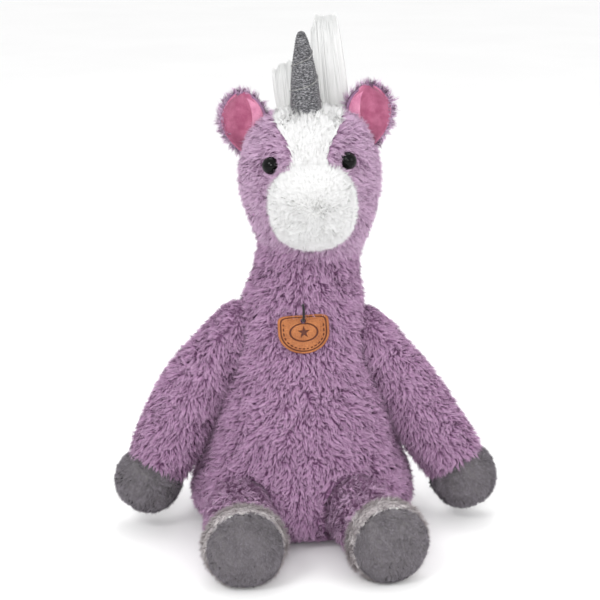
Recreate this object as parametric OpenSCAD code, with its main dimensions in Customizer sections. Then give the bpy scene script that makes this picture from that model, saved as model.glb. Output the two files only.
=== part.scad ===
// Seated plush unicorn, made the way it is sewn: skins, stuffing, hooves and trims as separate pieces.
// It faces -Y with +Z up. The origin is the middle of the flat seat, on the floor. Left means -X.

/* [Torso] */
// Radius of the flat seat that rests on the floor
seat_r = 46; // [43:1:49]
// Widest radius of the belly
belly_r = 67; // [65:1:69]
// Radius of the chest between the shoulders
chest_r = 34; // [33:0.5:35]
// Height of the chest's upper edge, under the neck
torso_h = 147; // [145:1:148]
// Thickness of the plush cloth
skin = 2; // [1.6:0.1:2.2]

/* [Neck and head] */
// Radius of the ball that the neck bends on
neck_r = 28.5; // [27:0.5:29]
// Height of the bend of the neck
neck_z = 158; // [157:1:159]
// Height where the neck ends and the head starts
collar_z = 178; // [176:1:179]
// Height of the middle of the head
head_z = 222; // [221:1:223]
// Widest radius of the head
head_r = 41; // [39:0.5:42]
// Sideways lean of the head, in degrees
head_roll = 3.5; // [0:0.5:5]
// Turn of the face towards the left side, in degrees
head_yaw = 4; // [0:0.5:6]
// Radius of the muzzle
muzzle_r = 24; // [22:0.5:25]
// How far the muzzle reaches in front of the head's axis
muzzle_reach = 57; // [54:1:60]
// Radius of a plastic eye
eye_r = 5.5; // [4.8:0.1:5.8]

/* [Horn and ears] */
// Length of the horn
horn_len = 51; // [46:0.5:54]
// Radius of the horn at its base
horn_r = 9.5; // [8.5:0.25:10]
// Half of an ear's width
ear_half_w = 14.5; // [13:0.5:16]
// Half of an ear's height
ear_half_h = 20.5; // [19:0.5:22]
// Height that the tall side of the mane stands above the middle of the head
mane_top = 95; // [88:1:98]

/* [Arms] */
// Height of the left shoulder
left_shoulder_z = 128; // [124:1:129]
// Height of the right shoulder
right_shoulder_z = 123; // [121:1:128]
// Outward angle of the left arm, in degrees
left_arm_angle = 30.5; // [30:0.5:36]
// Outward angle of the right arm, in degrees
right_arm_angle = 33; // [30:0.5:36]
// Length from the shoulder to the wrist
arm_len = 103; // [98:1:106]
// Radius of the soft hoof on the arm
hand_r = 20.5; // [19:0.5:21]

/* [Legs] */
// Distance from the seat's middle to the left hip
left_hip_x = 44; // [40:0.5:45]
// Distance from the seat's middle to the right hip
right_hip_x = 28.5; // [26:0.5:36]
// Outward angle of the left leg, in degrees
left_leg_angle = -1.5; // [-3:0.5:4]
// Outward angle of the right leg, in degrees
right_leg_angle = 13.5; // [4:0.5:16]
// Length of the leg from the hip to the hoof's seam
leg_len = 44; // [42:1:48]
// Radius of the hoof, which rests on the floor
hoof_r = 24; // [23:0.5:25]

/* [Tag] */
// Width of the leather tag
tag_w = 33; // [28:1:34]
// Thickness of the leather
tag_t = 1.6; // [1.2:0.1:1.8]

/* [Hidden] */
$fn = 64;

gap = 0.4;            // clearance between pieces that move on each other
big = 400;            // larger than the whole toy, for cutting boxes
LEFT = 0;
RIGHT = 1;
function side(s) = s == LEFT ? -1 : 1;

purple = "#a082a0";
white = "#f2f0ec";
grey = "#8c878b";
pale_grey = "#b9b2b5";
pink = "#dd9db8";
fill = "#f7f7f4";
leather = "#a8683f";

neck_x = 2.5;         // the neck and head stand a little right of the seat's middle
head_x = 4.8;
muzzle_z = -13;       // height of the muzzle's axis, from the middle of the head
horn_at = [0, -12, 39.5];
horn_lean = 8;        // the horn leans forward by this angle
eye_at = [22.4, -32, 12.5];
eye_tip = 9;          // the eyes look up by this angle
eye_lift = 1;         // room under an eye's rim, where the head curves away
eye_spread = atan2(eye_at.x, -eye_at.y);
washer_r = 6.5;
shank_r = 1.6;
shoulder_x = 41;
shoulder_z = [left_shoulder_z, right_shoulder_z];
arm_angle = [left_arm_angle, right_arm_angle];
arm_top_r = 12;
arm_forward = 7;      // the arms hang a little forward
hip_x = [-left_hip_x, right_hip_x];
hip_y = -60;
leg_angle = [left_leg_angle, right_leg_angle];
leg_r = 18;
hip_pocket_r = 22.5;
band_len = 20;
sole_len = 4.5;
tag_pivot = [-2.3, -36.5, 138];
tag_lean = 10;
tag_tilt = 3;
cord_ring_r = 5;
cord_r = 0.7;
tail_at = [0, 65, 40];
tail_r = 4;
tail_room = 1.3;      // clearance round the knot of the tail

// ---- curves ----
// A smooth curve through the points p, with steps pieces between each two
function span(a, b, c, d, t) =
    0.5 * (2 * b + (c - a) * t + (2 * a - 5 * b + 4 * c - d) * t * t + (3 * b - a - 3 * c + d) * t * t * t);
function smooth(p, steps) = let (last = len(p) - 1) [
    for (i = [0 : last - 1])
        for (s = [0 : steps - 1])
            span(p[max(i - 1, 0)], p[i], p[i + 1], p[min(i + 2, last)], s / steps),
    p[last]];
// The same outline moved inward by the cloth's thickness
function inset(p, d) = [for (q = p) [max(q.x - d, 0), q.y]];

module above(z) translate([-big / 2, -big / 2, z]) cube(big);
module below(z) translate([-big / 2, -big / 2, z - big]) cube(big);

// ---- torso ----
torso_side = smooth([[seat_r, 0], [belly_r - 5, 7.5], [belly_r, 22], [belly_r - 8.5, 49],
    [belly_r - 16, 77], [chest_r + 4.5, 103], [chest_r, 125], [chest_r - 2, torso_h]], 3);
seat_rise = 20;       // the cloth of the seat is full thickness below this height

module torso_solid() rotate_extrude() polygon(concat([[0, 0]], torso_side, [[0, torso_h]]));
module torso_core(over = 0) {
    inner = [for (q = torso_side) [q.x - skin, q.y + skin * max(0, 1 - q.y / seat_rise)]];
    rim = over > 0 ? [[chest_r - 2 - skin, torso_h + over]] : [];
    rotate_extrude() polygon(concat([[0, skin]], inner, rim, [[0, torso_h + over]]));
}
// What the moving parts need to have cut out of the torso
module neck_pocket() translate([neck_x, 0, neck_z]) sphere(neck_r + gap);
module hip_pockets() for (s = [LEFT, RIGHT])
    translate([hip_x[s], hip_y, hoof_r]) sphere(hip_pocket_r);
module shoulder_pockets() for (s = [LEFT, RIGHT])
    translate([side(s) * shoulder_x, 0, shoulder_z[s]]) sphere(arm_top_r + gap);
// The arm's inner edge sweeps this cone as it swings
swing_tip = 13.7;     // from the shoulder inward to the cone's tip
swing_reach = 60;
swing_slope = 0.47;
module swing_cones() for (s = [LEFT, RIGHT])
    translate([side(s) * (shoulder_x - swing_tip), 0, shoulder_z[s]]) rotate([0, side(s) * 90, 0])
        cylinder(h = swing_slope * swing_reach, r1 = 0, r2 = swing_reach);
// Room behind for the knot of the tail
module tail_pocket() translate(tail_at) sphere(tail_r + tail_room);
module torso_skin() difference() {
    torso_solid();
    torso_core(1);
    hip_pockets();
    shoulder_pockets();
    swing_cones();
    tail_pocket();
}
module torso_front_panel() color(purple) intersection() {
    torso_skin();
    translate([-big / 2, -big, -1]) cube(big);
}
module torso_back_panel() color(purple) intersection() {
    torso_skin();
    translate([-big / 2, 0, -1]) cube(big);
}
pouch_side = smooth([[34, skin], [38, 8], [39, 14], [36, 21], [28, 25]], 3);
pouch_h = 25;
module pouch_solid(d) rotate_extrude() polygon(concat([[0, skin + d]],
    [for (q = pouch_side) [q.x - d, max(skin + d, min(q.y, pouch_h - d))]], [[0, pouch_h - d]]));
module torso_stuffing() color(fill) difference() {
    torso_core();
    neck_pocket();
    hip_pockets();
    shoulder_pockets();
    swing_cones();
    pouch_solid(0);
}
pouch_cloth = 0.8;
module bean_pouch() color(white) difference() {
    pouch_solid(0);
    pouch_solid(pouch_cloth);
}
module seat_beans() color("#e8e4d8") pouch_solid(pouch_cloth);
module care_label() color(white) rotate([0, 0, 42]) translate([belly_r, -0.3, 14]) cube([15, 0.6, 22]);

// ---- tag ----
module tag_cord() color("#1c1a1b") translate(tag_pivot + [0, 0, cord_ring_r]) rotate([0, 90, 0])
    rotate_extrude() translate([cord_ring_r, 0]) circle(cord_r);
tag_hole_r = 2.7;
tag_above = 3.6;      // leather above the middle of the hole
tag_square = 9;       // straight part of the tag's sides
module leather_tag() color(leather) translate(tag_pivot) rotate([-tag_lean, -tag_tilt, 0])
    rotate([90, 0, 0]) translate([0, 0, -tag_t / 2]) difference() {
        union() {
            translate([-tag_w / 2, tag_above - tag_square, 0]) cube([tag_w, tag_square, tag_t]);
            translate([0, tag_above - tag_square, 0]) intersection() {
                cylinder(h = tag_t, r = tag_w / 2);
                translate([-tag_w / 2, -tag_w, 0]) cube([tag_w, tag_w, tag_t]);
            }
        }
        translate([0, 0, -1]) cylinder(h = tag_t + 2, r = tag_hole_r);
    }

// ---- neck ----
neck_open_z = neck_z - 12;   // the neck's cloth reaches down to here, under the chest's edge
module neck_solid(d) translate([neck_x, 0, neck_z]) {
    intersection() {
        sphere(neck_r - d);
        below(0.01);
    }
    cylinder(h = collar_z - neck_z, r1 = neck_r - d, r2 = neck_r - 1.5 - d);
}
module neck_cover() color(purple) intersection() {
    difference() {
        neck_solid(0);
        neck_solid(skin);
        above(collar_z);
    }
    above(neck_open_z);
}
module neck_stuffing() color(fill) {
    neck_solid(skin);
    intersection() {
        neck_solid(0);
        below(neck_open_z);
    }
}

// ---- head ----
module head_place() translate([head_x, 0, head_z]) rotate([0, -head_roll, -head_yaw]) children();
jaw_side = smooth([[26.5, -50], [29.5, -42], [35.5, -28], [head_r - 1.2, -14], [head_r, -4]], 3);
crown_step = 7.5;
crown_side = [for (t = [crown_step : crown_step : 82.5])
    [head_r * pow(cos(t), 0.6), -4 + 43.5 * pow(sin(t), 0.85)]];
skull_side = concat(jaw_side, crown_side);
module skull(d) rotate_extrude()
    polygon(concat([[0, -50]], [for (q = skull_side) [q.x - d, q.y > 20 ? q.y - d * (q.y - 20) / 19.5 : q.y]],
        [[0, 39.5 - d]]));
muzzle_step = 9;
muzzle_side = [for (t = [0 : muzzle_step : 81])
    [muzzle_r * pow(cos(t), 0.7), 36 + (muzzle_reach - 36) * pow(sin(t), 0.9)]];
module muzzle(d) translate([0, 0, muzzle_z]) rotate([90, 0, 0]) rotate_extrude()
    polygon(concat([[0, 10], [muzzle_r - d, 10]],
        [for (q = muzzle_side) [q.x - d, q.y - d * (q.y - 36) / 21]], [[0, muzzle_reach - d]]));
module horn_pocket() translate(horn_at) sphere(horn_r + gap);
module eye_place(s) rotate([0, 0, side(s) * eye_spread])
    translate([0, -norm([eye_at.x, eye_at.y]) - eye_lift, eye_at.z]) rotate([90 - eye_tip, 0, 0]) children();
shank_len = 9;
module shank(s) eye_place(s) translate([0, 0, -shank_len]) cylinder(h = shank_len, r = shank_r);
module washer_slot(s) eye_place(s) translate([0, 0, -skin - 3.2]) cylinder(h = 1.5, r = washer_r);

module head_skin() difference() {
    head_place() difference() {
        skull(0);
        skull(skin);
        muzzle(skin);
        horn_pocket();
        shank(LEFT);
        shank(RIGHT);
    }
    below(collar_z + gap);
}
// The white strip: narrow between the eyes and wide on the crown
blaze_half = [[10.5, 0], [10, 13], [16, 25], [23, 33], [23, 45]];
blaze_outline = concat(blaze_half,
    [for (i = [len(blaze_half) - 1 : -1 : 0]) [-blaze_half[i].x, blaze_half[i].y]]);
module blaze_prism() head_place() translate([0, 3, 0]) rotate([90, 0, 0]) linear_extrude(60)
    polygon(blaze_outline);
module head_half(s) difference() {
    head_skin();
    blaze_prism();
    head_place() translate([s == LEFT ? 0 : -big, -big / 2, -big / 2]) cube(big);
}
module head_side_left() color(purple) head_half(LEFT);
module head_side_right() color(purple) head_half(RIGHT);
module face_blaze() color(white) intersection() {
    head_skin();
    blaze_prism();
}
module muzzle_cover() color(white) head_place() difference() {
    muzzle(0);
    muzzle(skin);
    skull(0);
}
module head_stuffing() color(fill) difference() {
    head_place() difference() {
        union() {
            skull(skin);
            muzzle(skin);
        }
        horn_pocket();
        for (s = [LEFT, RIGHT]) {
            shank(s);
            washer_slot(s);
        }
    }
    below(collar_z + gap);
}
module eye(s) color("#0d0c0d") head_place() {
    eye_place(s) intersection() {
        sphere(eye_r);
        above(0);
    }
    shank(s);
}
module eye_left() eye(LEFT);
module eye_right() eye(RIGHT);
module eye_washer(s) color(white) head_place() difference() {
    washer_slot(s);
    shank(s);
}
module eye_washer_left() eye_washer(LEFT);
module eye_washer_right() eye_washer(RIGHT);

// The mane stands up behind the horn and runs down the back of the head
mane_outline = [[-17, 28], [-19, 64], [-12, 67], [-4, 69], [5, 70], [6, 86], [9, mane_top],
    [22, mane_top - 1], [23, 62], [25, 42], [26, 28]];
mane_half_w = 11;
mane_thick = 8;
module mane() color(white) head_place() difference() {
    union() {
        translate([0, 15, 0]) rotate([90, 0, 0]) linear_extrude(mane_thick) polygon(mane_outline);
        intersection() {
            skull(-mane_thick);
            translate([-mane_half_w, 7, -30]) cube([2 * mane_half_w, big, 90]);
        }
    }
    skull(0);
}

// ---- horn ----
horn_side = smooth([[horn_r, 0], [horn_r - 0.6, horn_len * 0.2], [horn_r * 0.8, horn_len * 0.48],
    [horn_r * 0.58, horn_len * 0.73], [horn_r * 0.36, horn_len * 0.91], [horn_r * 0.12, horn_len]], 3);
module horn_place() head_place() translate(horn_at) rotate([horn_lean, 0, 0]) children();
horn_cloth = 1;
module horn_solid(d) rotate_extrude()
    polygon(concat([[0, 0]], [for (q = horn_side) [max(q.x - d, 0.1), min(q.y, horn_len - d)]],
        [[0, horn_len - d]]));
module horn_cover() color("#77777d") horn_place() difference() {
    horn_solid(0);
    horn_solid(horn_cloth);
}
module horn_stuffing() color(fill) horn_place() {
    horn_solid(horn_cloth);
    intersection() {
        sphere(horn_r);
        below(0);
    }
}
// A thin thread wound round the horn
thread_r = 0.4;
thread_turns = 2.2;
thread_start = 7;
thread_end = 41;
thread_rings = 40;
thread_sides = 6;
horn_table = [for (q = horn_side) [q.y, q.x]];
function thread_point(i, j) = let (
    t = i / (thread_rings - 1),
    a = 360 * thread_turns * t,
    z = thread_start + (thread_end - thread_start) * t,
    r = lookup(z, horn_table) + thread_r + 0.1 + thread_r * cos(360 * j / thread_sides))
    [r * cos(a), r * sin(a), z + thread_r * sin(360 * j / thread_sides)];
module horn_thread() color("#c9c4bb") horn_place() polyhedron(
    points = [for (i = [0 : thread_rings - 1]) for (j = [0 : thread_sides - 1]) thread_point(i, j)],
    faces = concat(
        [[for (j = [0 : thread_sides - 1]) j]],
        [for (i = [0 : thread_rings - 2]) for (j = [0 : thread_sides - 1])
            let (k = (j + 1) % thread_sides, b = i * thread_sides, c = b + thread_sides)
            each [[b + k, b + j, c + j], [b + k, c + j, c + k]]],
        [[for (j = [thread_sides - 1 : -1 : 0]) (thread_rings - 1) * thread_sides + j]]));

// ---- ears ----
ear_at = [38.5, 4, 34];
ear_splay = 4;
ear_cup_r = 45;
ear_layer = 2;
lining_layer = 1.4;
lining_margin = 1.5;
ear_gap = 1.8;        // room between the ear and the head, so that it can bend
function ear_arc(m) = ((ear_half_w - m) * (ear_half_w - m) + (ear_half_h - m) * (ear_half_h - m))
    / (2 * (ear_half_w - m));
module ear_leaf(m) rotate([90, 0, 0]) translate([0, 0, -20]) intersection_for (k = [-1, 1])
    translate([k * (ear_arc(m) - ear_half_w + m), 0, 0]) cylinder(h = 40, r = ear_arc(m));
module ear_layer_solid(s, m, outer, inner) head_place() difference() {
    translate([side(s) * ear_at.x, ear_at.y, ear_at.z]) rotate([0, side(s) * ear_splay, 0]) intersection() {
        ear_leaf(m);
        translate([0, -ear_cup_r, 0]) difference() {
            sphere(outer);
            sphere(inner);
        }
    }
    skull(-ear_gap);
}
module ear_back(s) color(purple) ear_layer_solid(s, 0, ear_cup_r, ear_cup_r - ear_layer);
module ear_lining(s) color(pink)
    ear_layer_solid(s, lining_margin, ear_cup_r - ear_layer, ear_cup_r - ear_layer - lining_layer);
module ear_back_left() ear_back(LEFT);
module ear_back_right() ear_back(RIGHT);
module ear_lining_left() ear_lining(LEFT);
module ear_lining_right() ear_lining(RIGHT);

// ---- arms ----
module arm_place(s) translate([side(s) * shoulder_x, 0, shoulder_z[s]])
    rotate([-arm_forward, -side(s) * arm_angle[s], 0]) children();
arm_side = smooth([[arm_top_r, 0], [12.6, -25], [14.4, -58], [16.6, -86], [17, -arm_len]], 2);
module arm_solid(d) {
    sphere(arm_top_r - d);
    rotate_extrude() polygon(concat([[0, 0]], inset(arm_side, d), [[0, -arm_len]]));
}
module arm_cover(s) color(purple) arm_place(s) difference() {
    arm_solid(0);
    arm_solid(skin);
}
module arm_stuffing(s) color(fill) arm_place(s) difference() {
    arm_solid(skin);
    sphere(arm_top_r - skin + 0.01);
    cylinder(h = 20, r = 20);
}
module shoulder_stuffing(s) color(fill) arm_place(s) sphere(arm_top_r - skin - gap);
hand_drop = 10.5;     // from the wrist seam to the middle of the hoof
hand_cloth = 1.8;
module hand_solid(d) intersection() {
    translate([0, 0, -arm_len - hand_drop]) sphere(hand_r - d);
    below(-arm_len);
}
module hand_hoof(s) color(grey) arm_place(s) difference() {
    hand_solid(0);
    hand_solid(hand_cloth);
}
module hand_stuffing(s) color(fill) arm_place(s) hand_solid(hand_cloth);
module shoulder_stuffing_left() shoulder_stuffing(LEFT);
module shoulder_stuffing_right() shoulder_stuffing(RIGHT);
module arm_cover_left() arm_cover(LEFT);
module arm_cover_right() arm_cover(RIGHT);
module arm_stuffing_left() arm_stuffing(LEFT);
module arm_stuffing_right() arm_stuffing(RIGHT);
module hand_hoof_left() hand_hoof(LEFT);
module hand_hoof_right() hand_hoof(RIGHT);
module hand_stuffing_left() hand_stuffing(LEFT);
module hand_stuffing_right() hand_stuffing(RIGHT);

// ---- legs ----
module leg_place(s) translate([hip_x[s], hip_y, hoof_r]) rotate([90, 0, side(s) * leg_angle[s]]) children();
module leg_solid(d) {
    sphere(leg_r - d);
    cylinder(h = leg_len, r = leg_r - d);
}
module leg_cover(s) color(purple) leg_place(s) difference() {
    leg_solid(0);
    leg_solid(skin);
}
module leg_stuffing(s) color(fill) leg_place(s) leg_solid(skin);
band_side = smooth([[leg_r, leg_len], [hoof_r - 2, leg_len + 4], [hoof_r, leg_len + 10],
    [hoof_r - 0.7, leg_len + 16], [hoof_r - 3, leg_len + band_len]], 3);
sole_side = smooth([[hoof_r - 3, leg_len + band_len], [hoof_r - 7, leg_len + band_len + sole_len - 1.8],
    [0, leg_len + band_len + sole_len]], 3);
hoof_cloth = 1.8;
module band_solid(d) rotate_extrude()
    polygon(concat([[0, leg_len]], inset(band_side, d), [[0, leg_len + band_len]]));
module sole_solid(d) rotate_extrude() polygon(concat([[0, leg_len + band_len]],
    [for (q = sole_side) [max(q.x - d, 0), max(q.y - d, leg_len + band_len)]]));
module hoof_band(s) color(pale_grey) leg_place(s) difference() {
    band_solid(0);
    band_solid(hoof_cloth);
}
module sole_pad(s) color(grey) leg_place(s) difference() {
    sole_solid(0);
    sole_solid(hoof_cloth);
}
module foot_stuffing(s) color(fill) leg_place(s) {
    band_solid(hoof_cloth);
    sole_solid(hoof_cloth);
}
module leg_cover_left() leg_cover(LEFT);
module leg_cover_right() leg_cover(RIGHT);
module leg_stuffing_left() leg_stuffing(LEFT);
module leg_stuffing_right() leg_stuffing(RIGHT);
module hoof_band_left() hoof_band(LEFT);
module hoof_band_right() hoof_band(RIGHT);
module sole_pad_left() sole_pad(LEFT);
module sole_pad_right() sole_pad(RIGHT);
module foot_stuffing_left() foot_stuffing(LEFT);
module foot_stuffing_right() foot_stuffing(RIGHT);

// ---- tail ----
tail_droop = 140;     // the tail points down and back, this far round from straight up
tail_len = 33;
tail_tuft_r = 7;
module tail_place() translate(tail_at) rotate([-tail_droop, 0, 0]) children();
module tail_binding() color(purple) tail_place() {
    sphere(tail_r);
    cylinder(h = 6, r = tail_r);
}
module tail_hair() color(white) tail_place() {
    translate([0, 0, 6]) cylinder(h = tail_len - 12, r1 = tail_r, r2 = tail_tuft_r);
    translate([0, 0, tail_len - 6]) cylinder(h = 6, r1 = tail_tuft_r, r2 = 3);
}

torso_front_panel();
torso_back_panel();
torso_stuffing();
bean_pouch();
seat_beans();
care_label();
tag_cord();
leather_tag();
neck_cover();
neck_stuffing();
head_side_left();
head_side_right();
face_blaze();
muzzle_cover();
head_stuffing();
eye_left();
eye_right();
eye_washer_left();
eye_washer_right();
mane();
horn_cover();
horn_stuffing();
horn_thread();
ear_back_left();
ear_back_right();
ear_lining_left();
ear_lining_right();
shoulder_stuffing_left();
shoulder_stuffing_right();
arm_cover_left();
arm_cover_right();
arm_stuffing_left();
arm_stuffing_right();
hand_hoof_left();
hand_hoof_right();
hand_stuffing_left();
hand_stuffing_right();
leg_cover_left();
leg_cover_right();
leg_stuffing_left();
leg_stuffing_right();
hoof_band_left();
hoof_band_right();
sole_pad_left();
sole_pad_right();
foot_stuffing_left();
foot_stuffing_right();
tail_hair();
tail_binding();
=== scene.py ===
"""Looks of the seated plush unicorn: sewn skins, pile, mane, horn, ears, hooves and tag."""
import math

import bpy
import numpy as np
from mathutils import Euler, Matrix, Vector, kdtree, noise


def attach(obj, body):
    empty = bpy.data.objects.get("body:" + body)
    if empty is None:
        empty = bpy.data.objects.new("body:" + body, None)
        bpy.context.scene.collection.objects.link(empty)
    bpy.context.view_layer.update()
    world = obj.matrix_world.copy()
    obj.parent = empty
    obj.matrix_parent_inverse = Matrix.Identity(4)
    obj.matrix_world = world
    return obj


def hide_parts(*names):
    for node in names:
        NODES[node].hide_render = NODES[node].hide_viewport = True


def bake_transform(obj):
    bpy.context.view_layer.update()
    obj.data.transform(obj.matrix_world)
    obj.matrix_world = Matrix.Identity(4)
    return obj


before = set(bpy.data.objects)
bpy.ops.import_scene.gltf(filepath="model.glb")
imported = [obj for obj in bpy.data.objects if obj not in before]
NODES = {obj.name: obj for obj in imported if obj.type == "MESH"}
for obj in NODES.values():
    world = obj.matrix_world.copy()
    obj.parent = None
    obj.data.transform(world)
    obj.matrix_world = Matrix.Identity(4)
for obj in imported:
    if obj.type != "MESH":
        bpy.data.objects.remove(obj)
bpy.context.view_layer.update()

MM = 0.001
LEFT, RIGHT = 0, 1
SIDES = ("left", "right")
SIGN = (-1, 1)


# ---- driving dimensions, in millimetres
HEAD_AT = np.array([4.8, 0, 222])
HEAD_ROLL, HEAD_YAW = 3.5, 4.0
SHOULDER_AT = [np.array([-41, 0, 128]), np.array([41, 0, 123])]
ARM_ANGLE = (30.5, 33.0)
ARM_FORWARD = 7.0
HIP_AT = [np.array([-44, -60, 24]), np.array([28.5, -60, 24])]
LEG_ANGLE = (-1.5, 13.5)
MUZZLE_Z = -13
EYE_AT = [np.array([sign * 22.4, -32, 12.5]) for sign in SIGN]
HIP_POCKET_R, SHOULDER_POCKET_R = 21.5, 12.2
HIP_BARE_R, SHOULDER_BARE_R = 22.4, 12.5
CLOTH_T, HOOF_CLOTH_T = 1.6, 1.2
HORN_AT = (0, -12, 39.5)
HORN_LEAN = 8
HORN_LEN = 51
HORN_R = 9.5
TAG_PIVOT = np.array([-2.3, -36.5, 138])
TAG_LEAN, TAG_TILT = 10, 3
TAIL_AT = np.array([0, 65, 40])
TAIL_DROOP = 140
EAR_AT = (38.5, 4, 34)
EAR_SPLAY = 4
EAR_CUP_R = 45
EAR_HALF_W, EAR_HALF_H = 14.5, 20.5


def turn(x, y, z):
    """Turns about X, then Y, then Z, in degrees."""
    return Euler([math.radians(a) for a in (x, y, z)], "XYZ").to_matrix().to_4x4()


def place(at, x=0, y=0, z=0):
    return Matrix.Translation(Vector(at)) @ turn(x, y, z)


HEAD = place(HEAD_AT, 0, -HEAD_ROLL, -HEAD_YAW)
HEAD_BACK = HEAD.inverted()
HORN = HEAD @ place(HORN_AT, HORN_LEAN)
ARM = [place(SHOULDER_AT[s], -ARM_FORWARD, -SIGN[s] * ARM_ANGLE[s], 0) for s in (LEFT, RIGHT)]
LEG = [place(HIP_AT[s], 90, 0, SIGN[s] * LEG_ANGLE[s]) for s in (LEFT, RIGHT)]
TAG = place(TAG_PIVOT, -TAG_LEAN, -TAG_TILT, 0)
TAIL = place(TAIL_AT, -TAIL_DROOP)
EAR = [HEAD @ place((sign * EAR_AT[0], EAR_AT[1], EAR_AT[2]), 0, sign * EAR_SPLAY) for sign in SIGN]


def moved(matrix, points):
    """Points in millimetres, turned and shifted by a matrix."""
    m = np.array(matrix)
    return np.asarray(points, float) @ m[:3, :3].T + m[:3, 3]


def spot(matrix, x, y, z):
    """One point, turned and shifted by a matrix."""
    return moved(matrix, [[x, y, z]])[0]


def height_along(matrix, points):
    """How far along a limb's own axis each point is."""
    return moved(matrix.inverted(), points)[:, 2]


def distance(points, centre):
    return np.linalg.norm(points - centre, axis=1, keepdims=True)


def around(count):
    return np.linspace(0, 2 * math.pi, count, endpoint=False)


def turned(matrix, vectors):
    return np.asarray(vectors, float) @ np.array(matrix)[:3, :3].T


def unit(v):
    return v / np.maximum(np.linalg.norm(v, axis=-1, keepdims=True), 1e-9)


def curve(points, steps):
    """A smooth curve through the points (Catmull-Rom), steps pieces between each two."""
    p = np.asarray(points, float)
    out = []
    for i in range(len(p) - 1):
        a, b, c, d = p[max(i - 1, 0)], p[i], p[i + 1], p[min(i + 2, len(p) - 1)]
        for t in np.arange(steps) / steps:
            out.append(0.5 * (2 * b + (c - a) * t + (2 * a - 5 * b + 4 * c - d) * t**2
                              + (3 * b - a - 3 * c + d) * t**3))
    return np.array(out + [p[-1]])


# ---- mesh helpers
def linked(name, data):
    obj = bpy.data.objects.new(name, data)
    bpy.context.scene.collection.objects.link(obj)
    return obj


def new_object(name, verts, faces, material=None, uv=None, uv_name="OFBake"):
    """An object from points in millimetres and faces that are lists of point numbers."""
    mesh = bpy.data.meshes.new(name)
    verts = np.asarray(verts, float) * MM
    sizes = np.array([len(f) for f in faces], np.int32)
    loops = np.concatenate([np.asarray(f, np.int32) for f in faces])
    fill_mesh(mesh, verts, loops, sizes)
    if uv is not None:
        put_uv(mesh, uv[loops], uv_name)
    if material is not None:
        mesh.materials.append(material)
    return linked(name, mesh)


def fill_mesh(mesh, verts, loops, sizes):
    mesh.vertices.add(len(verts))
    mesh.vertices.foreach_set("co", verts.astype(np.float32).ravel())
    mesh.loops.add(len(loops))
    mesh.loops.foreach_set("vertex_index", loops)
    mesh.polygons.add(len(sizes))
    mesh.polygons.foreach_set("loop_start", np.concatenate([[0], np.cumsum(sizes)[:-1]]).astype(np.int32))
    mesh.polygons.foreach_set("use_smooth", np.ones(len(sizes), bool))
    mesh.update(calc_edges=True)
    mesh.validate()


def put_uv(mesh, uv, name="OFBake"):
    layer = mesh.uv_layers.new(name=name)
    layer.data.foreach_set("uv", np.asarray(uv, np.float32).ravel())


def ring_faces(rings, segs):
    """Faces of a tube of rings, with one face over each end."""
    faces = []
    for i in range(rings - 1):
        for j in range(segs):
            k = (j + 1) % segs
            faces.append([i * segs + j, i * segs + k, (i + 1) * segs + k, (i + 1) * segs + j])
    faces.append(list(range(segs))[::-1])
    faces.append([(rings - 1) * segs + j for j in range(segs)])
    return faces


def lathe(rows, matrix=None, segs=56, square=1.0):
    """A closed body from rows of (height, radius) or (height, x radius, y radius, x middle, y middle).
    square below 1 makes the section fuller at its corners."""
    a = around(segs)
    across = np.sign(np.cos(a)) * np.abs(np.cos(a)) ** square
    along = np.sign(np.sin(a)) * np.abs(np.sin(a)) ** square
    verts = []
    for row in rows:
        z, rx = row[0], max(row[1], 0.02)
        ry = max(row[2], 0.02) if len(row) > 2 else rx
        cx, cy = (row[3], row[4]) if len(row) > 3 else (0, 0)
        verts.append(np.stack([cx + rx * across, cy + ry * along, np.full(segs, z)], 1))
    verts = np.concatenate(verts)
    if matrix is not None:
        verts = moved(matrix, verts)
    return verts, ring_faces(len(rows), segs)


def fused(name, parts, voxel, smooth, shape):
    """One smooth closed skin round one or more overlapping bodies. shape moves its points at the end."""
    verts, faces, start = [], [], 0
    for v, f in parts:
        verts.append(v)
        faces += [[i + start for i in face] for face in f]
        start += len(v)
    obj = new_object(name, np.concatenate(verts), faces)
    remesh = obj.modifiers.new("remesh", "REMESH")
    remesh.mode = "VOXEL"
    remesh.voxel_size = voxel * MM
    remesh.use_smooth_shade = True
    soften = obj.modifiers.new("soften", "SMOOTH")
    soften.factor = 0.5
    soften.iterations = smooth
    bake_modifiers(obj)
    set_points(obj.data, shape(points_of(obj.data), normals_of(obj.data)))
    return obj


def bake_modifiers(obj):
    """The mesh becomes what its modifiers make of it."""
    depsgraph = bpy.context.evaluated_depsgraph_get()
    mesh = bpy.data.meshes.new_from_object(obj.evaluated_get(depsgraph))
    obj.modifiers.clear()
    old = obj.data
    obj.data = mesh
    bpy.data.meshes.remove(old)
    mesh.polygons.foreach_set("use_smooth", np.ones(len(mesh.polygons), bool))
    mesh.update()


def read(items, name):
    values = np.zeros(len(items) * 3, np.float32)
    items.foreach_get(name, values)
    return values.reshape(-1, 3).astype(float)


def points_of(mesh):
    return read(mesh.vertices, "co") / MM


def normals_of(mesh):
    return read(mesh.vertex_normals, "vector")


def set_points(mesh, points):
    mesh.vertices.foreach_set("co", (points * MM).astype(np.float32).ravel())
    mesh.update()


def panel(name, skin, keep, material, thickness=CLOTH_T):
    """The part of a skin whose faces keep() says yes to, as a closed piece of cloth under the skin."""
    mesh = skin.data
    co = points_of(mesh)
    centres = np.array([co[list(p.vertices)].mean(0) for p in mesh.polygons])
    chosen = np.nonzero(keep(centres))[0]
    used = sorted({v for i in chosen for v in mesh.polygons[i].vertices})
    number = {v: i for i, v in enumerate(used)}
    faces = [[number[v] for v in mesh.polygons[i].vertices] for i in chosen]
    obj = new_object(name, co[used], faces, material)
    solid = obj.modifiers.new("cloth", "SOLIDIFY")
    solid.thickness = thickness * MM
    solid.offset = -1
    bake_modifiers(obj)
    return obj


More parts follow.
